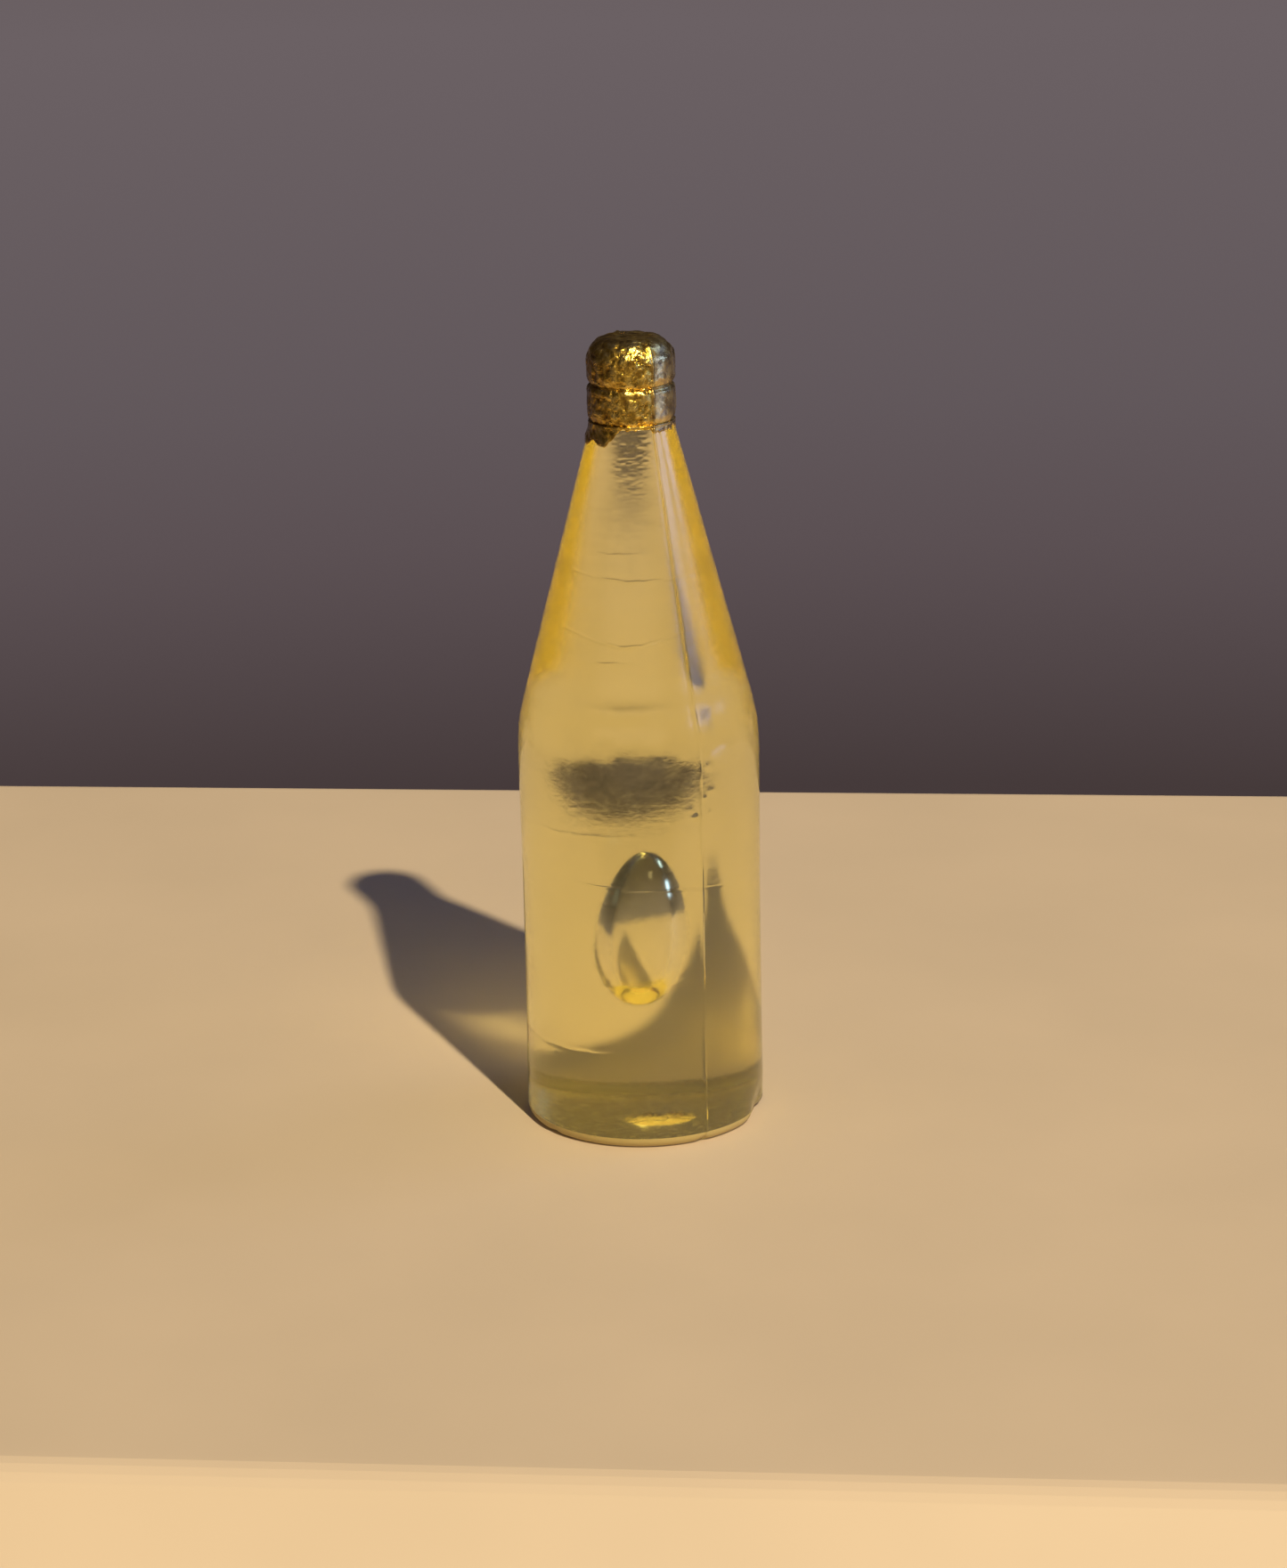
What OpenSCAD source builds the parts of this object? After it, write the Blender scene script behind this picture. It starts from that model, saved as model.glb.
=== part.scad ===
// Miniature display bottle: a solid clear amber moulding with a sealed void inside,
// and a brushed-on film of gold paint over its crown.
// Millimetres. The origin is the centre of the base, and +Z runs up the bottle.
// Azimuths are measured from +X, and the front of the bottle faces -Y.

/* [Barrel] */
// Outside diameter of the straight barrel
body_d = 12; // [9:0.5:18]
// Height of the straight wall, from the base to the start of the shoulder
wall_h = 20; // [14:0.5:30]
// Radius that rounds the edge of the base
base_edge_r = 0.45; // [0.2:0.05:1]
// Radius that blends the wall into the cone
shoulder_r = 4; // [1:0.5:8]

/* [Cone] */
// Height of the cone, from the end of the straight wall to its top
cone_h = 15.7; // [10:0.1:24]
// Diameter at the top of the cone
neck_d = 4.06; // [3.6:0.02:4.8]

/* [Crown] */
// Diameter of both beads, without paint
bead_d = 4.2; // [3.8:0.05:5]
// Height of the lower bead
collar_h = 1.7; // [1:0.1:3]
// Height of the upper bead, with its domed top
crown_h = 2.13; // [1.6:0.01:3.5]
// Radius that rounds the top of the upper bead
dome_r = 1.1; // [0.4:0.05:1.5]
// Radius on the other bead edges, which is the depth of the grooves too
bead_edge_r = 0.22; // [0.1:0.02:0.4]
// Height of the rounded underside of each bead
undercut_h = 0.45; // [0.2:0.05:0.6]
// Height of the groove below each bead
groove_h = 0.17; // [0.1:0.01:0.4]

/* [Void] */
// Widest diameter of the sealed void
void_d = 2.96; // [1:0.02:5]
// Length of the void
void_h = 8.1; // [3:0.1:12]
// Height of the middle of the void above the base
void_z = 10.3; // [7:0.1:13]
// How much fuller the void is at its lower end
void_taper = 0.2; // [0:0.05:0.35]
// Lean of the void towards +X, in degrees
void_lean = 2.5; // [0:0.5:12]

/* [Seam] */
// Azimuth of the mould's parting plane, in degrees
seam_azimuth = -60; // [-90:5:90]
// Width of the flash left along the parting line
seam_w = 0.16; // [0.08:0.02:0.4]
// Height of the flash above the surface
seam_h = 0.05; // [0.02:0.01:0.15]

/* [Gate scar] */
// Diameter of the dimple in the base where the gate was broken off
gate_d = 2.4; // [1:0.1:4]
// Depth of that dimple
gate_depth = 0.3; // [0.1:0.05:0.6]
// How far the dimple lies from the axis, towards +X
gate_x = 0.45; // [-1:0.05:1]

/* [Gold film] */
// Thickness of the paint
film_t = 0.07; // [0.03:0.01:0.12]
// How far the longest brush lap runs down from the crown onto the cone
lap_drop = 1; // [0.5:0.1:3]
// Width of a full brush lap
lap_w = 1.5; // [1:0.1:2]

/* [Hidden] */
$fn = 96;
arc_steps = 10;
egg_steps = 28;
body_r = body_d / 2;
neck_r = neck_d / 2;
bead_r = bead_d / 2;
neck_z = wall_h + cone_h;
collar_z = neck_z + groove_h;
crown_z = collar_z + collar_h + groove_h;
top_z = crown_z + crown_h;
// Point where the shoulder's arc is centred, and the slope of the cone that is tangent to it
shoulder_centre = [body_r - shoulder_r, wall_h];
shoulder_reach = norm([neck_r, neck_z] - shoulder_centre);
cone_angle = atan2(neck_z - shoulder_centre.y, neck_r - shoulder_centre.x)
    - acos(shoulder_r / shoulder_reach);
// Each brush lap's azimuth, and its width and drop as shares of the full ones.
// The front is bare between the laps on its left and the short one on its right.
laps = [[188, 1, 1], [218, 0.8, 0.65], [236, 0.6, 0.85], [-40, 1, 0.3],
        [20, 1.1, 0.6], [65, 1.2, 0.9], [115, 1.2, 0.5], [150, 0.9, 0.75]];
// Sphere that leaves a dimple of the gate's diameter and depth
gate_sphere_r = (pow(gate_d / 2, 2) + pow(gate_depth, 2)) / (2 * gate_depth);

// Points along an oval arc of half width rx and half height ry, from one angle to another
function oval(centre, rx, ry, from, to) =
    [for (i = [0 : arc_steps])
        let (a = from + (to - from) * i / arc_steps)
        centre + [rx * cos(a), ry * sin(a)]];

// Points along a round arc
function arc(centre, r, from, to) = oval(centre, r, r, from, to);

// Half outline of the barrel and cone, grown outwards by g above a flat base
module barrel_outline(g) {
    base_arc = arc([body_r - base_edge_r, base_edge_r], base_edge_r + g,
                   -asin(base_edge_r / (base_edge_r + g)), 0);
    shoulder_arc = arc(shoulder_centre, shoulder_r + g, 0, cone_angle);
    cone_top = [neck_r + g / cos(cone_angle) - g * tan(cone_angle), neck_z + g];
    polygon(concat([[0, 0]], base_arc, shoulder_arc, [cone_top, [0, neck_z + g]]));
}

// Half outline of one bead with rounded edges, grown outwards by g
module bead_outline(g, z, h, top_r) {
    low_arc = oval([bead_r - bead_edge_r, z + undercut_h], bead_edge_r + g, undercut_h + g, -90, 0);
    top_arc = arc([bead_r - top_r, z + h - top_r], top_r + g, 0, 90);
    polygon(concat([[0, z - g]], low_arc, top_arc, [[0, z + h + g]]));
}

// Half outline of the whole moulding, grown outwards by g
module outline(g) {
    barrel_outline(g);
    translate([0, neck_z - groove_h])
        square([bead_r - bead_edge_r + g, crown_z - neck_z + 2 * groove_h]);
    bead_outline(g, collar_z, collar_h, bead_edge_r);
    bead_outline(g, crown_z, crown_h, dome_r);
}

// The moulding's outside, with the flash of its parting line, grown outwards by g
module outside(g) {
    rotate_extrude()
        outline(g);
    for (side = [0, 180])
        rotate([90, 0, seam_azimuth + side])
            linear_extrude(seam_w + 2 * g, center = true)
                outline(seam_h + g);
}

// Egg-shaped void that shrinkage leaves in a thick moulding
module shrinkage_void() {
    egg = [for (i = [0 : egg_steps])
        let (a = 180 * i / egg_steps)
        [void_d / 2 * sin(a) * (1 + void_taper * cos(a)), -void_h / 2 * cos(a)]];
    translate([0, 0, void_z])
        rotate([0, void_lean, 0])
            rotate_extrude()
                polygon(egg);
}

module gate_scar() {
    translate([gate_x, 0, gate_depth - gate_sphere_r])
        sphere(gate_sphere_r);
}

module bottle_body() {
    color([0.86, 0.68, 0.25, 0.6])
        difference() {
            outside(0);
            shrinkage_void();
            gate_scar();
        }
}

// One brush lap: a strip of the lap's width, with a round lower end, seen along the radius
module lap_outline(w, drop) {
    end_arc = arc([0, w / 2 - drop], w / 2, -180, 0);
    polygon(concat(end_arc, [[w / 2, w / 2], [-w / 2, w / 2]]));
}

// Space that the paint covers: the crown, and one strip for each brush lap
module painted_space() {
    translate([0, 0, neck_z])
        cylinder(r = bead_d, h = top_z - neck_z + 2 * film_t);
    for (lap = laps)
        rotate([90, 0, lap[0] + 90])
            translate([0, neck_z, neck_r / 2])
                linear_extrude(neck_d)
                    lap_outline(lap_w * lap[1], lap_drop * lap[2]);
}

module gold_film() {
    color([0.72, 0.53, 0.16])
        intersection() {
            difference() {
                outside(film_t);
                outside(0);
            }
            painted_space();
        }
}

bottle_body();
gold_film();
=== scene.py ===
import itertools
import math

import bmesh
import bpy
import numpy as np
from mathutils import Matrix, Vector


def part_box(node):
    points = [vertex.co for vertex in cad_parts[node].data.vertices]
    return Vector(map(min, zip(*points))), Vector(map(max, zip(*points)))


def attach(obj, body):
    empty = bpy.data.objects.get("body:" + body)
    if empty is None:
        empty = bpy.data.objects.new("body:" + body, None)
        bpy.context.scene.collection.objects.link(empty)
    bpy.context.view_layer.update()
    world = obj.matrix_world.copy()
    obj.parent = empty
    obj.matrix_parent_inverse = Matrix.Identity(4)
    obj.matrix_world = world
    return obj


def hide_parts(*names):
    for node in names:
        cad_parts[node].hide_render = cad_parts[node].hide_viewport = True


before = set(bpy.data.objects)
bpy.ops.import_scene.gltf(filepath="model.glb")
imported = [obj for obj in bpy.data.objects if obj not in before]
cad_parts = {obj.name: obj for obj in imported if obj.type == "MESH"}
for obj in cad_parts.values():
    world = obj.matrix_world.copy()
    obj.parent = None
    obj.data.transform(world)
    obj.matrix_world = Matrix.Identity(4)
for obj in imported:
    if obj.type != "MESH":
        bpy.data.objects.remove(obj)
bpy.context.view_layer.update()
scene = bpy.context.scene

# A miniature bottle: a solid clear amber moulding, and the gold paint on its crown.
# Sizes are in millimetres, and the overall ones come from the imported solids.
# Azimuths are in radians from +X unless a comment says otherwise. The front faces -Y.
MM = 0.001
body_low, body_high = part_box("bottle_body")
film_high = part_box("gold_film")[1]
FRONT = -math.pi / 2
POLE_R = 0.02  # radius of the smallest ring of a skin, next to its pole
TINY = 1e-6  # slack when lengths are compared

# Paint, and the flash along the parting line of the mould
FILM_T = 0.07
FLASH_H = 0.05
FLASH_HALF_W = 0.065
SEAM = math.radians(-60)  # azimuth of the parting plane
SEAM_BAND = 0.06  # half the angle over which the columns lie closer together

# Barrel and cone
BODY_R = (body_high.x - body_low.x) / 2 / MM
WALL_H = 20.0
BASE_EDGE_R = 0.45
SHOULDER_R = 4.0
SHOULDER_EASE = 0.75  # reach of the easing of the shoulder's corners
NECK_Z = 35.7
NECK_R = 2.03
RIPPLE_Z = 31.8  # lowest height of the ripples under the crown
RIPPLE_FULL_Z = 34.4  # height where the ripples are at their full depth

# Crown
BEAD_R = 2.1
BEAD_EDGE_R = 0.22
BEAD_INNER_R = BEAD_R - BEAD_EDGE_R
DOME_R = 1.1
UNDERCUT_H = 0.45
GROOVE_H = 0.17
COLLAR_H = 1.7
COLLAR_Z = NECK_Z + GROOVE_H
CROWN_Z = COLLAR_Z + COLLAR_H + GROOVE_H
TOP_Z = film_high.z / MM - FLASH_H - FILM_T

# Gate scar in the base, shrinkage void, and the sink of the wall round it
SCAR_R = 1.2
SCAR_DEPTH = 0.3
SCAR_X = 0.45
VOID_R = 1.48
VOID_HALF_H = 4.05
VOID_Z = 10.3
VOID_TAPER = 0.2
VOID_LEAN = 2.5  # degrees towards +X
SINK_DEPTH = 0.05
SINK_Z = 9.0
SINK_REACH = 6.0

# Material slots of the moulding
WALL_SLOT, VOID_SLOT, BASE_SLOT, EDGE_SLOT = range(4)


# Small tools

LATTICE_PRIMES = (374761393, 668265263, 1440662683, 1274126177)
LATTICE_WORD = 0xFFFFFFFF
LATTICE_TOP = 0xFFFFFF


def lattice(i, j, k, seed):
    """A repeatable random number from 0 to 1 for each lattice point."""
    a, b, c, d = LATTICE_PRIMES
    n = (i * a + j * b + k * c + seed * d) & LATTICE_WORD
    n = ((n ^ (n >> 13)) * d) & LATTICE_WORD
    return ((n ^ (n >> 16)) & LATTICE_TOP) / LATTICE_TOP


def noise(points, seed):
    """Smooth noise from -1 to 1, with a feature size of one unit."""
    cell = np.floor(points).astype(np.int64)
    f = points - cell
    f = f * f * f * (f * (f * 6 - 15) + 10)
    total = 0
    for corner in itertools.product((0, 1), repeat=3):
        weight = np.where(corner, f, 1 - f).prod(-1)
        i, j, k = np.moveaxis(cell + corner, -1, 0)
        total = total + weight * lattice(i, j, k, seed)
    return total * 2 - 1


def along(x, seed):
    """Smooth noise along one direction."""
    return noise(np.stack([x, 0 * x, 0 * x], -1), seed)


def bump(x, width):
    """A round bump of height 1 at x = 0 that has faded out at about twice its width."""
    return np.exp(-(x / width) ** 2)


def smoothstep(low, high, x):
    """A smooth rise from 0 at low to 1 at high."""
    t = np.clip((x - low) / (high - low), 0, 1)
    return t * t * (3 - 2 * t)


def angle_from(theta, azimuth):
    """Signed angle from an azimuth."""
    return (theta - azimuth + math.pi) % (2 * math.pi) - math.pi


def arc(centre_r, centre_z, radius, start, end, steps):
    """Points along an arc of an outline, between two angles in degrees."""
    a = np.radians(np.linspace(start, end, steps))
    return np.stack([centre_r + radius * np.cos(a), centre_z + radius * np.sin(a)], 1)


def resample(points, step):
    """The outline with a point at least every step along it, and its own corners kept."""
    points = np.asarray(points, float)
    out = [points[0]]
    for a, b in zip(points[:-1], points[1:]):
        n = max(1, math.ceil(np.linalg.norm(b - a) / step))
        out += [a + (b - a) * i / n for i in range(1, n + 1)]
    return np.array(out)


def outline_normals(points):
    """Unit normals of an outline that runs upwards, pointing away from the axis."""
    t = np.gradient(points, axis=0)
    t /= np.linalg.norm(t, axis=1, keepdims=True)
    return np.stack([t[:, 1], -t[:, 0]], 1)


def seam_columns(count, extra):
    """Azimuths round the bottle, closer together along the parting line."""
    theta = list(np.linspace(0, 2 * math.pi, count, endpoint=False))
    for side in (SEAM, SEAM + math.pi):
        theta += list((side + np.linspace(-SEAM_BAND, SEAM_BAND, extra)) % (2 * math.pi))
    return np.array(sorted(set(np.round(theta, 6))))


def grid_faces(rows, columns, first=0, flip=False):
    """Quads of a grid that closes on itself round the axis."""
    i = np.arange(rows - 1)[:, None] * columns
    j = np.arange(columns)[None, :]
    k = (j + 1) % columns
    quads = np.stack([i + j, i + k, i + columns + k, i + columns + j], 2).reshape(-1, 4) + first
    return (quads[:, ::-1] if flip else quads).tolist()


def fan_faces(pole, start, columns, flip=False):
    """Triangles from a pole to a ring of vertices."""
    ring = [(pole, start + j, start + (j + 1) % columns) for j in range(columns)]
    return [face[::-1] for face in ring] if flip else ring


def make_object(name, vertices, faces, materials, slots=None):
    """A smooth-shaded mesh object, from vertices in mm."""
    mesh = bpy.data.meshes.new(name)
    mesh.from_pydata((vertices * MM).tolist(), [], faces)
    mesh.shade_smooth()
    for material in materials:
        mesh.materials.append(material)
    if slots is not None:
        mesh.polygons.foreach_set("material_index", slots)
    mesh.update()
    obj = bpy.data.objects.new(name, mesh)
    scene.collection.objects.link(obj)
    return obj


# Material tools

def grey(level):
    return (level, level, level, 1)


def new_material(name):
    material = bpy.data.materials.new(name)
    material.use_nodes = True
    nodes, links = material.node_tree.nodes, material.node_tree.links
    return material, nodes, links, nodes["Principled BSDF"]


def feed(links, source, socket):
    """Gives a socket a colour of its own, or the colour that a node gives."""
    if isinstance(source, tuple):
        socket.default_value = source
    else:
        links.new(source.outputs["Color"], socket)


def noise_node(nodes, links, scale, detail, stretch=(1, 1, 1)):
    """A noise texture in the object's own coordinates, in cycles per metre."""
    coords = nodes.new("ShaderNodeTexCoord")
    mapping = nodes.new("ShaderNodeMapping")
    mapping.inputs["Scale"].default_value = stretch
    texture = nodes.new("ShaderNodeTexNoise")
    texture.inputs["Scale"].default_value = scale
    texture.inputs["Detail"].default_value = detail
    links.new(coords.outputs["Object"], mapping.inputs["Vector"])
    links.new(mapping.outputs["Vector"], texture.inputs["Vector"])
    return texture


def ramp_node(nodes, links, source, stops):
    """A colour ramp. Each stop is a position from 0 to 1, and the colour there."""
    ramp = nodes.new("ShaderNodeValToRGB")
    first, last = ramp.color_ramp.elements
    first.position, first.color = stops[0]
    last.position, last.color = stops[-1]
    for position, colour in stops[1:-1]:
        ramp.color_ramp.elements.new(position).color = colour
    links.new(source, ramp.inputs["Fac"])
    return ramp


def place_node(nodes, links, axis, stops):
    """A level or colour by place along an axis. Each stop is a place in mm, and what is there."""
    coords = nodes.new("ShaderNodeTexCoord")
    split = nodes.new("ShaderNodeSeparateXYZ")
    links.new(coords.outputs["Object"], split.inputs["Vector"])
    low, high = stops[0][0], stops[-1][0]
    share = nodes.new("ShaderNodeMapRange")
    share.inputs["From Min"].default_value = low * MM
    share.inputs["From Max"].default_value = high * MM
    links.new(split.outputs[axis], share.inputs["Value"])
    stops = [((place - low) / (high - low), value if isinstance(value, tuple) else grey(value))
             for place, value in stops]
    return ramp_node(nodes, links, share.outputs["Result"], stops)


def blend_node(nodes, links, kind, first, second, factor=None):
    """Blends two colours in full, or by the socket that gives the factor."""
    node = nodes.new("ShaderNodeMixRGB")
    node.blend_type = kind
    node.inputs["Fac"].default_value = 1
    if factor:
        links.new(factor, node.inputs["Fac"])
    feed(links, first, node.inputs["Color1"])
    feed(links, second, node.inputs["Color2"])
    return node


def bump_node(nodes, links, shader, source, depth):
    """Relief of a depth in mm on a shader's surface."""
    node = nodes.new("ShaderNodeBump")
    node.inputs["Strength"].default_value = 1
    node.inputs["Distance"].default_value = depth * MM
    links.new(source, node.inputs["Height"])
    links.new(node.outputs["Normal"], shader.inputs["Normal"])
    return node


def pass_light(nodes, links, shader, share):
    """Lets the lamps' light through the surface unbent, as a stand-in for light that plastic bends.

    share is the tint of that light, or the node that gives it.
    """
    clear = nodes.new("ShaderNodeBsdfTransparent")
    feed(links, share, clear.inputs["Color"])
    path = nodes.new("ShaderNodeLightPath")
    mix = nodes.new("ShaderNodeMixShader")
    links.new(path.outputs["Is Shadow Ray"], mix.inputs["Fac"])
    links.new(shader.outputs["BSDF"], mix.inputs[1])
    links.new(clear.outputs["BSDF"], mix.inputs[2])
    links.new(mix.outputs["Shader"], nodes["Material Output"].inputs["Surface"])


def by_side(nodes, links, going_out, coming_in):
    """One colour for light that goes out through the surface, and another for light that comes in.

    Rays are traced towards the lamps, so light comes in where a ray meets the surface's back.
    """
    side = nodes.new("ShaderNodeNewGeometry")
    return blend_node(nodes, links, "MIX", going_out, coming_in, side.outputs["Backfacing"])


# Materials

def light_through_wall(nodes, links):
    """Share of the lamps' light that passes the wall.

    It comes in by height, most of it at the shoulder. It goes out where the barrel gathers it as a
    lens does, away from the lamp and mainly on the left.
    """
    comes_in = place_node(nodes, links, "Z", [
        (0.0, 0.2), (0.45, 0.2), (0.9, 0.12), (9.0, 0.12), (10.5, 0.03), (14.5, 0.03),
        (16.5, 0.12), (18.5, 0.6), (20.5, 0.6), (22.0, 0.0)])
    goes_out = place_node(nodes, links, "Z", [
        (0.0, 0.9), (0.45, 0.9), (0.7, 0.0), (3.0, 0.0), (6.0, 0.9), (16.0, 0.9), (19.5, 0.0)])
    on_left = place_node(nodes, links, "X", [(-4.2, 1.0), (-2.4, 0.15)])
    facing = nodes.new("ShaderNodeLayerWeight").outputs["Facing"]
    middle = ramp_node(nodes, links, facing, [(0.36, grey(1.0)), (0.60, grey(0.0))])
    gathered = blend_node(nodes, links, "MULTIPLY", goes_out, middle)
    gathered = blend_node(nodes, links, "MULTIPLY", gathered, on_left)
    return by_side(nodes, links, gathered, comes_in)


def clear_plastic(name, tint, veil, haze, peel, scuffed=None, ior=1.53):
    """Clear plastic, with its fine scuffs and unevenness.

    veil is the share of light that it scatters, haze its roughness where it is clean and where it
    is scuffed, peel the depth of its unevenness in mm, and scuffed the roughness added by height.
    """
    material, nodes, links, shader = new_material(name)
    shader.inputs["Base Color"].default_value = tint
    shader.inputs["Transmission Weight"].default_value = 1 - veil
    shader.inputs["IOR"].default_value = ior
    clean, rubbed = haze
    scuffs = noise_node(nodes, links, scale=3000, detail=3)
    rough = ramp_node(nodes, links, scuffs.outputs["Fac"], [(0.42, grey(clean)), (0.70, grey(rubbed))])
    if scuffed:
        rough = blend_node(nodes, links, "ADD", rough, place_node(nodes, links, "Z", scuffed))
    links.new(rough.outputs["Color"], shader.inputs["Roughness"])
    skin = noise_node(nodes, links, scale=3200, detail=2, stretch=(1, 1, 1.6))
    bump_node(nodes, links, shader, skin.outputs["Fac"], peel)
    return material, nodes, links, shader


def clear_amber():
    """The moulding's wall: amber through its thickness, and more scuffed on the cone than below it."""
    scuffed = [(11.0, 0.02), (13.5, 0.0), (20.3, 0.0), (22.5, 0.085), (30.0, 0.085), (33.0, 0.02)]
    material, nodes, links, shader = clear_plastic(
        "clear_amber", (1.0, 0.94, 0.70, 1), veil=0.02, haze=(0.09, 0.165), peel=0.003, scuffed=scuffed)
    absorption = nodes.new("ShaderNodeVolumeAbsorption")
    absorption.inputs["Color"].default_value = (1.0, 0.94, 0.0, 1)
    absorption.inputs["Density"].default_value = 45
    links.new(absorption.outputs["Volume"], nodes["Material Output"].inputs["Volume"])
    pass_light(nodes, links, shader, light_through_wall(nodes, links))
    return material


def void_wall():
    """The smooth wall of the void."""
    material, nodes, links, shader = clear_plastic(
        "void_wall", (1, 1, 1, 1), veil=0.0, haze=(0.02, 0.05), peel=0.0)
    pass_light(nodes, links, shader, grey(1))
    return material


def frosted_base():
    """The frosted face of the base.

    It lies close against the floor, so it hardly bends the light. It passes more light than reaches
    it straight from the lamps, for the light that the barrel gathers there.
    """
    material, nodes, links, shader = clear_plastic(
        "frosted_base", (1.0, 0.9, 0.55, 1), veil=0.0, haze=(0.22, 0.32), peel=0.004, ior=1.06)
    pass_light(nodes, links, shader, by_side(nodes, links, (5.4, 5.6, 0.6, 1), grey(0.1)))
    return material


def lit_and_shaded_edge():
    """The rounded edge of the base, opaque: painted light at the front, and painted shade towards the back.
    """
    painted_lit_front = (0.43, 0.33, 0.12, 1)
    painted_shade_behind = (0.17, 0.14, 0.08, 1)
    material, nodes, links, shader = clear_plastic(
        "lit_and_shaded_edge", painted_lit_front, veil=1.0, haze=(0.4, 0.5), peel=0.02)
    # Painted light at the front fades to painted shade from the middle back, standing in for the lit floor
    # and the shadow behind the bottle
    colour = place_node(nodes, links, "Y", [(-2.2, painted_lit_front), (0.0, painted_shade_behind)])
    links.new(colour.outputs["Color"], shader.inputs["Base Color"])
    pass_light(nodes, links, shader, grey(0.3))
    return material


def gold_paint():
    """Brushed-on metallic paint, grainy in its colour and its relief."""
    material, nodes, links, shader = new_material("gold_paint")
    shader.inputs["Metallic"].default_value = 1.0
    shader.inputs["Coat Weight"].default_value = 0.2
    shader.inputs["Coat Roughness"].default_value = 0.15
    dark = (0.30, 0.165, 0.02, 1)
    gold = (0.70, 0.46, 0.075, 1)
    bright = (0.95, 0.73, 0.22, 1)
    painted_sky_reflection = (0.60, 0.57, 0.46, 1)
    grain = noise_node(nodes, links, scale=2600, detail=3).outputs["Fac"]
    colour = ramp_node(nodes, links, grain, [(0.32, dark), (0.5, gold), (0.68, bright)])
    # Painted shade makes the paint browner on the left, away from the lamp, and a painted reflection of the
    # sky makes it greyer to the right of the parting line, where it is also smoother
    painted_shade_left = place_node(nodes, links, "X", [(-2.1, (0.50, 0.42, 0.36, 1)), (-0.5, grey(1.0))])
    colour = blend_node(nodes, links, "MULTIPLY", colour, painted_shade_left)
    reflection_share = place_node(nodes, links, "X", [(0.9, 0.0), (1.3, 0.32)])
    colour = blend_node(nodes, links, "MIX", colour, painted_sky_reflection, reflection_share.outputs["Color"])
    links.new(colour.outputs["Color"], shader.inputs["Base Color"])
    patches = noise_node(nodes, links, scale=1500, detail=3).outputs["Fac"]
    rough = ramp_node(nodes, links, patches, [(0.35, grey(0.23)), (0.7, grey(0.38))])
    links.new(rough.outputs["Color"], shader.inputs["Roughness"])
    relief = bump_node(nodes, links, shader, grain, 0.15)
    smoother = place_node(nodes, links, "X", [(0.9, 1.0), (1.25, 0.25)])
    links.new(smoother.outputs["Color"], relief.inputs["Strength"])
    return material


def pale_floor():
    """A plain pale surface with a faint unevenness of tone."""
    material, nodes, links, shader = new_material("pale_floor")
    tone = noise_node(nodes, links, scale=60, detail=3).outputs["Fac"]
    colour = ramp_node(nodes, links, tone, [(0.3, (0.62, 0.50, 0.35, 1)), (0.7, (0.66, 0.53, 0.37, 1))])
    links.new(colour.outputs["Color"], shader.inputs["Base Color"])
    shader.inputs["Roughness"].default_value = 0.6
    return material


# The moulding

def cone_slope():
    """Angle in degrees of the cone's normal above the horizon, for a cone tangent to the shoulder's arc."""
    dr = NECK_R - (BODY_R - SHOULDER_R)
    dz = NECK_Z - WALL_H
    return math.degrees(math.atan2(dz, dr) - math.acos(SHOULDER_R / math.hypot(dr, dz)))


def bead_edge(z, side):
    """Rounded edge of a bead, from its underside (side -1) or its wall (side 1)."""
    a = np.radians(np.linspace(-90, 0, 8) if side < 0 else np.linspace(0, 90, 7))
    drop = UNDERCUT_H if side < 0 else BEAD_EDGE_R
    return np.stack([BEAD_INNER_R + BEAD_EDGE_R * np.cos(a), z - side * drop + drop * np.sin(a)], 1)


def crown_outline():
    """Outline of both beads and their grooves, from the top of the cone to the middle of the dome."""
    return np.concatenate([
        [[BEAD_INNER_R, NECK_Z]],
        bead_edge(COLLAR_Z, -1),
        bead_edge(COLLAR_Z + COLLAR_H, 1),
        bead_edge(CROWN_Z, -1),
        arc(BEAD_R - DOME_R, TOP_Z - DOME_R, DOME_R, 0, 90, 16),
        [[POLE_R, TOP_Z]]])


def side_radius(z):
    """Radius of the barrel, shoulder and cone, with the shoulder's corners eased."""
    shoulder = arc(BODY_R - SHOULDER_R, WALL_H, SHOULDER_R, 0, cone_slope(), 24)
    known = np.concatenate([[[BODY_R, 0]], shoulder, [[NECK_R, NECK_Z]]])
    shifts = np.linspace(-2, 2, 41)
    weights = bump(shifts, math.sqrt(2))
    reach = SHOULDER_EASE * np.minimum(1, (NECK_Z - z) / (2 * SHOULDER_EASE))
    spread = [w * np.interp(z + d * reach, known[:, 1], known[:, 0]) for d, w in zip(shifts, weights)]
    return sum(spread) / weights.sum()


def body_outline():
    """Outline of the whole moulding, from the middle of the base to the middle of the dome."""
    scar_edge = 2.0
    base_rim = BODY_R - BASE_EDGE_R
    middle = resample([[POLE_R, 0], [scar_edge, 0]], 0.05)
    rest = resample([[scar_edge, 0], [base_rim, 0]], 0.2)
    edge = arc(base_rim, BASE_EDGE_R, BASE_EDGE_R, -90, 0, 14)
    # Rows are closer together where there are fine lines
    z = [BASE_EDGE_R]
    for top, step in ((13.1, 0.08), (14.1, 0.04), (24.2, 0.08), (NECK_Z, 0.04)):
        z += list(np.linspace(z[-1], top, math.ceil((top - z[-1]) / step) + 1)[1:])
    z = np.array(z[1:])
    side = np.stack([side_radius(z), z], 1)
    return np.concatenate([middle, rest[1:], edge[1:], side, resample(crown_outline(), 0.15)])


def flash(theta, r, z):
    """Height of the flash along both parting lines, uneven along its length."""
    height = 0
    for side, seed in ((SEAM, 3), (SEAM + math.pi, 5)):
        across = angle_from(theta, side) * np.maximum(r, 0.4)
        height = height + FLASH_H * (1 + 0.36 * along(z / 0.8, seed)) * bump(across, FLASH_HALF_W)
    return height


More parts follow.
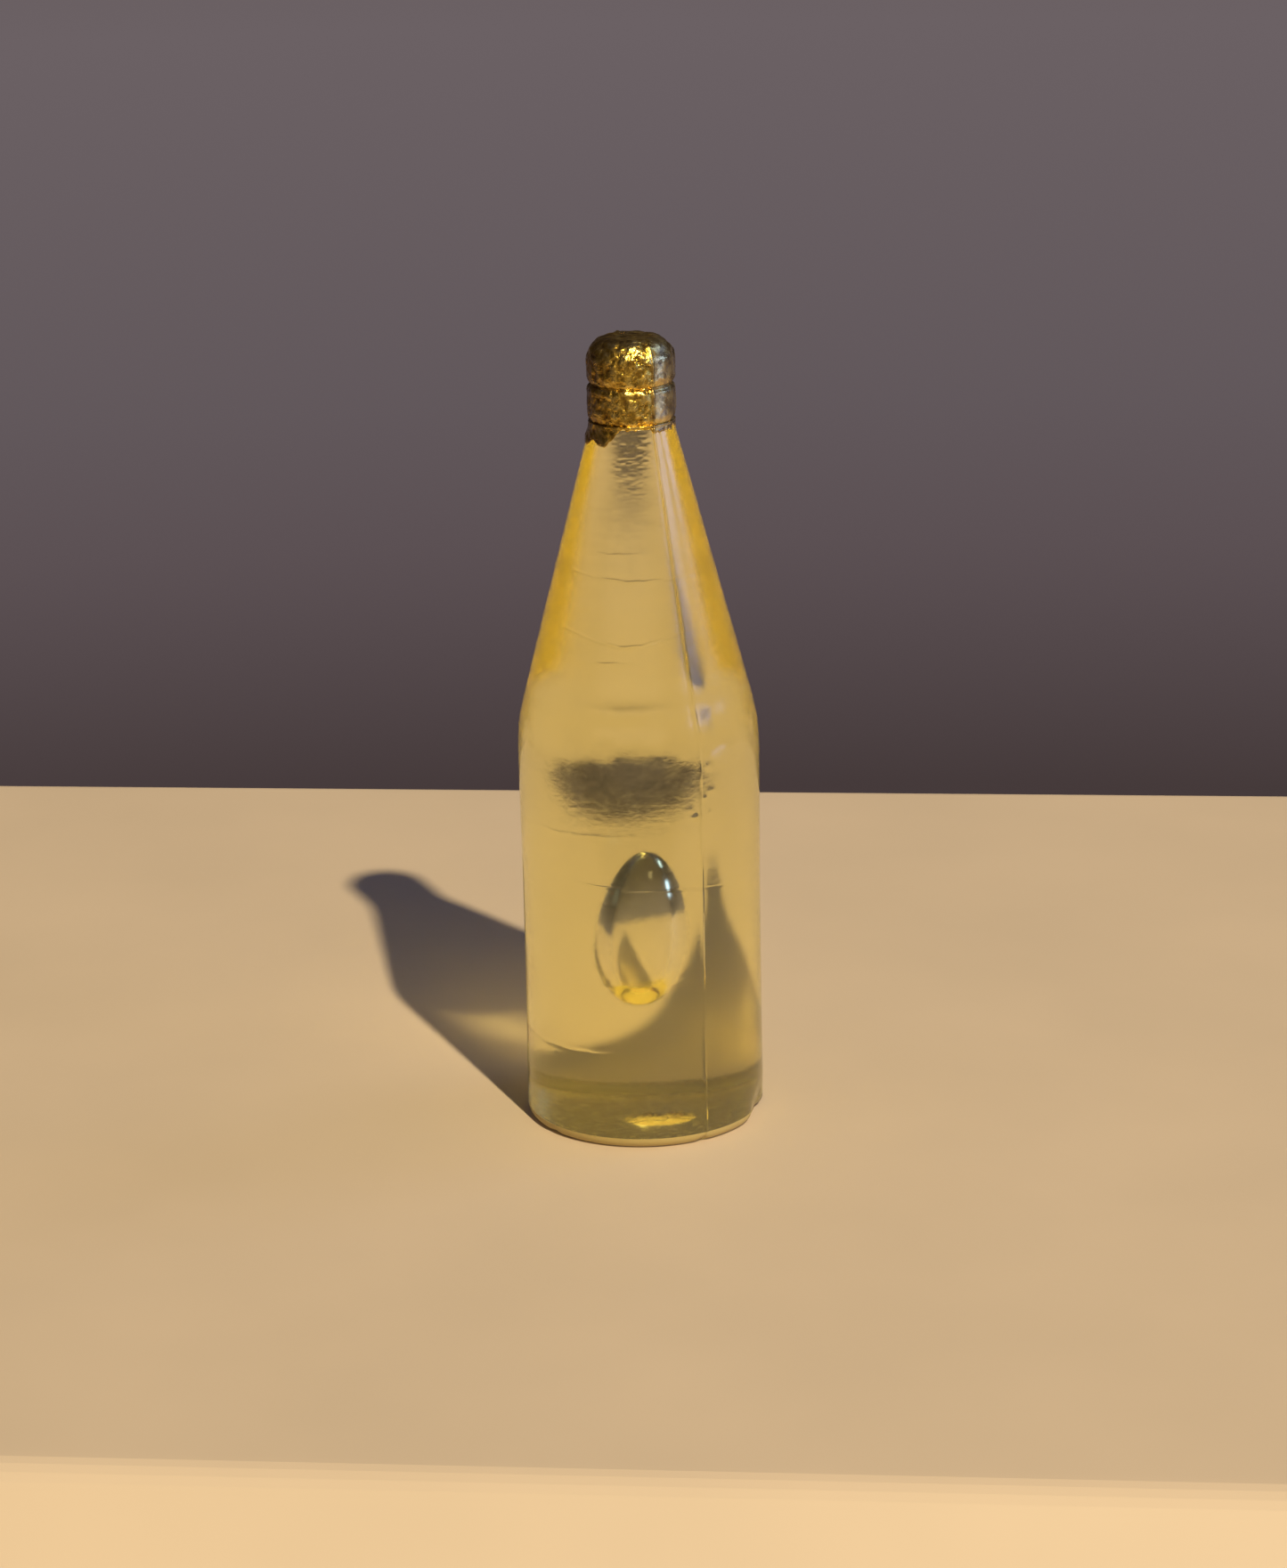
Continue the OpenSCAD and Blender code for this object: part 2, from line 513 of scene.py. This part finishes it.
# Height, azimuth from the front, reach round the bottle, depth, dip towards the front, tilt, width
LINES = [
    (29.9, -0.3, 0.35, 0.010, 0.0, 0.0, 0.05),
    (28.8, -0.05, 0.6, 0.018, 0.15, -0.15, 0.05),
    (26.2, -0.1, 0.5, 0.026, 0.6, 0.0, 0.06),
    (24.8, -0.3, 0.22, 0.030, 0.0, 0.0, 0.06),
    (22.6, -0.1, 0.9, 0.060, 0.1, 0.0, 0.5),
    (13.6, 0.0, 0.6, 0.022, 0.0, -0.4, 0.05),
    (12.9, -0.7, 0.5, 0.010, 0.1, 0.0, 0.1),
    (8.6, -0.5, 0.8, 0.012, 0.1, 0.1, 0.1),
    (5.0, -0.6, 0.7, 0.012, 0.1, 0.0, 0.1),
    (16.3, -0.7, 0.5, 0.010, 0.1, 0.1, 0.1)]

# Height, azimuth from the front, size, depth
PITS = [
    (17.1, 0.47, 0.12, 0.04), (17.5, 0.42, 0.16, 0.014), (18.3, 0.62, 0.2, 0.014),
    (19.6, 0.6, 0.18, 0.012), (17.2, 0.60, 0.1, 0.016), (20.3, 0.55, 0.15, 0.01),
    (18.0, 0.56, 0.12, 0.012), (16.4, 0.5, 0.1, 0.01)]
CHIPS = [
    (0.25, 1.3, 1.0, 0.32), (0.1, 0.5, 0.22, 0.1), (0.1, -0.9, 0.3, 0.06), (0.1, 2.2, 0.4, 0.12)]


def ripples(skin, z, front):
    """Short ripples below the crown, strongest at the front."""
    ripple = noise(skin / (0.34, 0.34, 0.13), 21) + 0.6 * noise(skin / (0.2, 0.2, 0.09), 22)
    strength = smoothstep(RIPPLE_Z, RIPPLE_FULL_Z, z) * (z < NECK_Z) * bump(front - 0.02, 0.36)
    strength = strength * (0.35 + 0.65 * smoothstep(-0.3, 0.4, noise(skin / (0.7, 0.7, 0.35), 23)))
    return 0.011 * ripple * strength


def body_unevenness(skin, r, z, t):
    """How far the moulding's skin stands off its ideal shape."""
    front = angle_from(t, FRONT)
    above_base = smoothstep(0.5, 2.0, z)
    # The two halves of the mould don't meet quite level
    across_seam = np.sin(t - SEAM)
    step = 0.012 * np.sign(across_seam) * smoothstep(0.0, 0.05, np.abs(across_seam))
    offset = flash(t, r, z) * smoothstep(0.1, 0.5, z) + step * above_base
    # Slow unevenness of a hand-finished mould
    slow = 0.009 * noise(skin / (5.0, 5.0, 4.0), 11) + 0.0015 * noise(skin / (1.6, 1.6, 1.2), 12)
    offset += above_base * slow
    # The wall sinks a little where the thick middle shrank
    offset -= SINK_DEPTH * bump(z - SINK_Z, SINK_REACH)
    offset += ripples(skin, z, front)
    # Fine lines round the cone and barrel, left by the mould's tooling
    for line_z, middle, reach, depth, dip, tilt, width in LINES:
        turn = front - middle
        away = z - line_z + dip * bump(turn, reach) - tilt * turn + 0.04 * along(turn / 0.08, 24)
        offset -= depth * bump(away, width) * bump(turn, reach)
    # Uneven run of the shoulder
    offset += 0.014 * noise(skin / (0.8, 0.8, 0.9), 25) * bump(z - WALL_H - 0.6, 1.0)
    # Pits beside the parting line, and chips in the edge of the base
    for spot_z, azimuth, size, depth in PITS + CHIPS:
        away = np.hypot(z - spot_z, angle_from(front, azimuth) * r)
        offset -= depth * bump(away, size)
    # The skin stays even close to the axis, where the columns meet
    return offset * smoothstep(0.0, 0.6, r) * (r > 0.5)


def build_body():
    """Vertices, faces and material slots of the moulding, with its void."""
    points = body_outline()
    normals = outline_normals(points)
    theta = seam_columns(220, 25)
    rows, columns = len(points), len(theta)
    r = np.repeat(points[:, :1], columns, 1)
    z = np.repeat(points[:, 1:], columns, 1)
    t = np.repeat(theta[None, :], rows, 0)
    skin = np.stack([r * np.cos(t), r * np.sin(t), z], 2)
    flat = (z < TINY) & (r < BODY_R - BASE_EDGE_R + TINY)
    offset = np.where(flat, 0, body_unevenness(skin, r, z, t))
    r = r + offset * normals[:, :1]
    z = z + offset * normals[:, 1:]
    # The gate scar, a shallow ragged dimple in the base
    away = np.hypot(r * np.cos(t) - SCAR_X, r * np.sin(t)) / SCAR_R
    ragged = 1 + 0.9 * noise(skin / (0.5, 0.3, 1.0), 26)
    z = np.where(flat, SCAR_DEPTH * np.clip(1 - away ** 2, 0, 1) * ragged, z)
    skin = np.stack([r * np.cos(t), r * np.sin(t), z], 2).reshape(-1, 3)
    poles = [[0, 0, z[0].mean()], [0, 0, z[-1].mean()]]

    void, void_faces = build_void(len(skin) + len(poles))
    wall_faces = grid_faces(rows, columns)
    base_cap = fan_faces(len(skin), 0, columns, flip=True)
    top_cap = fan_faces(len(skin) + 1, (rows - 1) * columns, columns)
    base_rows = int(np.argmax(points[:, 1] > 0)) - 1
    edge_rows = int(np.argmax(points[:, 1] > BASE_EDGE_R))
    slots = [BASE_SLOT] * (base_rows * columns) + [EDGE_SLOT] * ((edge_rows - base_rows) * columns)
    slots += [WALL_SLOT] * (len(wall_faces) - len(slots))
    slots += [BASE_SLOT] * columns + [WALL_SLOT] * columns + [VOID_SLOT] * len(void_faces)
    return np.concatenate([skin, poles, void]), wall_faces + base_cap + top_cap + void_faces, slots


def build_void(first):
    """The egg-shaped shrinkage void. Its faces look into the void, and its vertices count from first."""
    rows, columns = 72, 96
    a = np.linspace(0, math.pi, rows + 2)[1:-1]
    radius = VOID_R * np.sin(a) * (1 + VOID_TAPER * np.cos(a))
    height = -VOID_HALF_H * np.cos(a)
    theta = np.linspace(0, 2 * math.pi, columns, endpoint=False)
    egg = np.stack([radius[:, None] * np.cos(theta), radius[:, None] * np.sin(theta),
                    np.repeat(height[:, None], columns, 1)], 2)
    egg = egg * (1 + 0.012 * noise(egg / 1.5, 31))[..., None]
    egg = np.concatenate([egg.reshape(-1, 3), [[0, 0, -VOID_HALF_H], [0, 0, VOID_HALF_H]]])
    lean = np.array(Matrix.Rotation(math.radians(VOID_LEAN), 3, "Y"))
    bottom = first + rows * columns
    faces = grid_faces(rows, columns, first, flip=True)
    faces += fan_faces(bottom, first, columns)
    faces += fan_faces(bottom + 1, first + (rows - 1) * columns, columns, flip=True)
    return egg @ lean.T + (0, 0, VOID_Z), faces


# The gold paint

# Azimuth from the front in degrees, and how far below the top of the cone the paint ends there
PAINT_DROPS = [
    (-180, 0.45), (-165, 0.75), (-150, 0.5), (-130, 0.85), (-112, 0.95), (-90, 1.0),
    (-72, 0.85), (-60, 0.62), (-48, 0.78), (-37, 0.82), (-29, 0.55), (-23, 0.35),
    (-17, -0.02), (26, -0.02), (31, 0.26), (45, 0.3), (62, 0.2), (72, 0.08),
    (84, 0.2), (105, 0.55), (122, 0.4), (140, 0.75), (158, 0.6), (180, 0.45)]
FILM_SUNK = 0.012  # how far the paint's inner face lies inside the moulding
THINNEST = 0.02
LAP_ROWS = 22
LAP_GAP = 0.02  # between the top row of the laps and the collar
LAP_STEP = 0.02  # how far the laps step in above the cone


def paint_edge(front):
    """How far below the top of the cone the paint ends, with its ragged edge."""
    azimuth, drop = np.array(PAINT_DROPS).T
    ragged = 0.09 * along(front / 0.1, 41) + 0.05 * along(front / 0.045, 42)
    return np.interp(np.degrees(front), azimuth, drop) + ragged


def build_film():
    """Vertices and faces of the paint, a closed skin that is thick in the grooves and thin at its lip."""
    theta = seam_columns(360, 17)
    columns = len(theta)
    front = angle_from(theta, FRONT)
    crown = resample(crown_outline()[1:], 0.06)
    normals = outline_normals(crown)
    slope = math.radians(cone_slope())
    # Rows below the collar run down the cone to the ragged edge
    lap = np.linspace(1, 0, LAP_ROWS, endpoint=False)[:, None]
    edge = NECK_Z - paint_edge(front)[None, :]
    lap_top = COLLAR_Z - LAP_GAP
    lap_z = lap_top - lap * (lap_top - edge)
    lap_r = np.where(lap_z < NECK_Z, NECK_R + (NECK_Z - lap_z) * math.tan(slope), NECK_R - LAP_STEP)
    z = np.concatenate([lap_z, np.repeat(crown[:, 1:], columns, 1)])
    r = np.concatenate([lap_r, np.repeat(crown[:, :1], columns, 1)])
    nr = np.concatenate([np.full((LAP_ROWS, 1), math.cos(slope)), normals[:, :1]])
    nz = np.concatenate([np.full((LAP_ROWS, 1), math.sin(slope)), normals[:, 1:]])
    rows = len(z)
    t = np.repeat(theta[None, :], rows, 0)
    place = np.stack([r * np.cos(t), r * np.sin(t), z], 2)

    lumps = 0.42 * noise(place / 0.42, 51) + 0.42 * noise(place / 0.2, 52)
    # The paint is smoother to the right of the parting line
    smooth = smoothstep(0.45, 0.6, front) * (1 - smoothstep(1.2, 1.5, front))
    thickness = FILM_T * (0.85 + lumps * (1 - 0.75 * smooth))
    # Paint pools in the grooves, and thins out to a rounded lip at its lower edge
    for groove in (NECK_Z + GROOVE_H / 2, CROWN_Z - GROOVE_H / 2):
        thickness = thickness + 0.06 * bump(z - groove, 0.12)
    lip = np.concatenate([np.repeat(1 - lap, columns, 1), np.ones((len(crown), columns))])
    thickness = np.maximum(thickness, THINNEST) * np.sqrt(np.clip(lip * 4, 0.02, 1))
    outside = thickness + flash(t, r, z) * smoothstep(0.6, 1.6, r)

    def skin(offset):
        rr = r + offset * nr
        return np.stack([rr * np.cos(t), rr * np.sin(t), z + offset * nz], 2).reshape(-1, 3)

    outer, inner = skin(outside), skin(-FILM_SUNK)
    inside = rows * columns
    last = (rows - 1) * columns
    poles = np.array([[0, 0, outer[last:, 2].mean()], [0, 0, inner[last:, 2].mean()]])
    faces = grid_faces(rows, columns) + grid_faces(rows, columns, inside, flip=True)
    faces += [(j, inside + j, inside + (j + 1) % columns, (j + 1) % columns) for j in range(columns)]
    faces += fan_faces(2 * inside, last, columns)
    faces += fan_faces(2 * inside + 1, inside + last, columns, flip=True)
    return np.concatenate([outer, inner, poles]), faces


body_vertices, body_faces, body_slots = build_body()
body_materials = [clear_amber(), void_wall(), frosted_base(), lit_and_shaded_edge()]
moulding = make_object("moulded_bottle", body_vertices, body_faces, body_materials, body_slots)
film_vertices, film_faces = build_film()
paint = make_object("gold_coat", film_vertices, film_faces, [gold_paint()])
for piece, node, slot in ((moulding, "bottle_body", "clear_amber"), (paint, "gold_film", "gold_paint")):
    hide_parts(node)
    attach(piece, "root")


# Floor

FLOOR_LEFT = -80.0
FLOOR_RIGHT = 110.0
FLOOR_NEAR = -41.5
FLOOR_FAR = 53.1
FLOOR_THICK = 16.0
FLOOR_EDGE = 1.2
FLOOR_TURN = -5.4  # degrees
FLOOR_FLARE = 14.0  # how far the foot of the front stands out
FLOOR_GAP = 0.02  # air under the bottle's base


def build_floor():
    """A plain pale board with rounded edges and a sloping front."""
    mesh = bpy.data.meshes.new("floor")
    board = bmesh.new()
    bmesh.ops.create_cube(board, size=1)
    size = Vector((FLOOR_RIGHT - FLOOR_LEFT, FLOOR_FAR - FLOOR_NEAR, FLOOR_THICK)) * MM
    middle = Vector((FLOOR_RIGHT + FLOOR_LEFT, FLOOR_FAR + FLOOR_NEAR, -FLOOR_THICK)) * MM / 2
    bmesh.ops.scale(board, vec=size, verts=board.verts)
    bmesh.ops.translate(board, vec=middle - Vector((0, 0, FLOOR_GAP * MM)), verts=board.verts)
    for vertex in board.verts:
        if vertex.co.y < 0 and vertex.co.z < -FLOOR_THICK * MM / 2:
            vertex.co.y -= FLOOR_FLARE * MM
    bmesh.ops.bevel(board, geom=board.edges[:], offset=FLOOR_EDGE * MM, segments=5, profile=0.5,
                    affect="EDGES")
    board.to_mesh(mesh)
    board.free()
    mesh.materials.append(pale_floor())
    floor = bpy.data.objects.new("floor", mesh)
    floor.rotation_euler.z = math.radians(FLOOR_TURN)
    scene.collection.objects.link(floor)
    return floor


build_floor()


# Light

LIGHT_AIM = Vector((0, 0, 20)) * MM

# Sine of the elevation, and the colour of the surroundings there
SURROUNDINGS = [
    (-0.305, (0.060, 0.043, 0.043, 1)),
    (-0.252, (0.105, 0.080, 0.086, 1)),
    (-0.216, (0.122, 0.098, 0.106, 1)),
    (-0.131, (0.148, 0.120, 0.128, 1)),
    (0.0, (0.075, 0.058, 0.052, 1)),
    (0.1, (0.046, 0.035, 0.026, 1)),
    (0.6, (0.040, 0.032, 0.026, 1)),
    (0.8, (0.050, 0.048, 0.100, 1))]


def area_light(name, azimuth, elevation, distance, size, power, colour, through=True):
    """A light that faces the bottle, with its distance and size in metres and its power in watts.

    Azimuth is to the right of the camera, in degrees. Where through is False, the light isn't seen
    through the plastic.
    """
    a, e = math.radians(azimuth), math.radians(elevation)
    data = bpy.data.lights.new(name, "AREA")
    data.shape = "ELLIPSE"
    data.size, data.size_y = size
    data.energy = power
    data.color = colour
    light = bpy.data.objects.new(name, data)
    light.location = distance * Vector(
        (math.sin(a) * math.cos(e), -math.cos(a) * math.cos(e), math.sin(e)))
    light.rotation_euler = (LIGHT_AIM - light.location).to_track_quat("-Z", "Y").to_euler()
    light.visible_transmission = through
    scene.collection.objects.link(light)


def build_surroundings():
    """A plain world whose colour changes with height only."""
    world = bpy.data.worlds.new("surroundings")
    world.use_nodes = True
    nodes, links = world.node_tree.nodes, world.node_tree.links
    direction = nodes.new("ShaderNodeTexCoord")
    split = nodes.new("ShaderNodeSeparateXYZ")
    links.new(direction.outputs["Generated"], split.inputs["Vector"])
    level = nodes.new("ShaderNodeMath")
    level.operation = "MULTIPLY_ADD"
    level.inputs[1].default_value = 0.5
    level.inputs[2].default_value = 0.5
    links.new(split.outputs["Z"], level.inputs[0])
    stops = [(0.5 + sine / 2, colour) for sine, colour in SURROUNDINGS]
    tone = ramp_node(nodes, links, level.outputs["Value"], stops)
    links.new(tone.outputs["Color"], nodes["Background"].inputs["Color"])
    return world


area_light("key", 23, 46, 2.5, (0.06, 0.06), 76, (1.0, 0.84, 0.58))
area_light("low_side", 80, -14, 0.7, (0.3, 0.2), 0.36, (0.34, 0.48, 1.0), through=False)
area_light("side", 65, 14.2, 0.7, (0.34, 0.15), 0.48, (0.36, 0.48, 1.0), through=False)
area_light("glint", 93, 14, 0.7, (0.24, 0.13), 0.36, (0.28, 0.44, 1.0))
area_light("bounce", -5, -10, 0.5, (0.7, 0.1), 0.075, (1.0, 0.75, 0.41), through=False)
area_light("front", -8, 13, 0.8, (1.2, 0.14), 0.36, (1.0, 0.75, 0.45), through=False)
area_light("sky", 110, 42, 1.2, (0.45, 0.45), 1.15, (0.36, 0.54, 1.0))
scene.world = build_surroundings()
scene.view_settings.view_transform = "Standard"
scene.cycles.max_bounces = 24
scene.cycles.transmission_bounces = 20
scene.cycles.glossy_bounces = 12


# Camera

FRAME_PX = 1761  # longer side of the frame
FOCAL_PX = 4800  # focal length in the same pixels
SENSOR_W = 36
CLIP_START = 10
DISTANCE = 203.2  # from the bottle's axis
HEIGHT = 82.1
PITCH = 17.72  # degrees down from the horizon
ROLL = 1.17
YAW = 0.06


def build_camera():
    data = bpy.data.cameras.new("camera")
    data.sensor_width = SENSOR_W
    data.lens = SENSOR_W * FOCAL_PX / FRAME_PX
    data.clip_start = CLIP_START * MM
    camera = bpy.data.objects.new("camera", data)
    yaw = Matrix.Rotation(math.radians(-YAW), 4, "Z")
    pitch = Matrix.Rotation(math.radians(90 - PITCH), 4, "X")
    roll = Matrix.Rotation(math.radians(-ROLL), 4, "Z")
    camera.matrix_world = Matrix.Translation(Vector((0, -DISTANCE, HEIGHT)) * MM) @ yaw @ pitch @ roll
    scene.collection.objects.link(camera)
    return camera


scene.camera = build_camera()
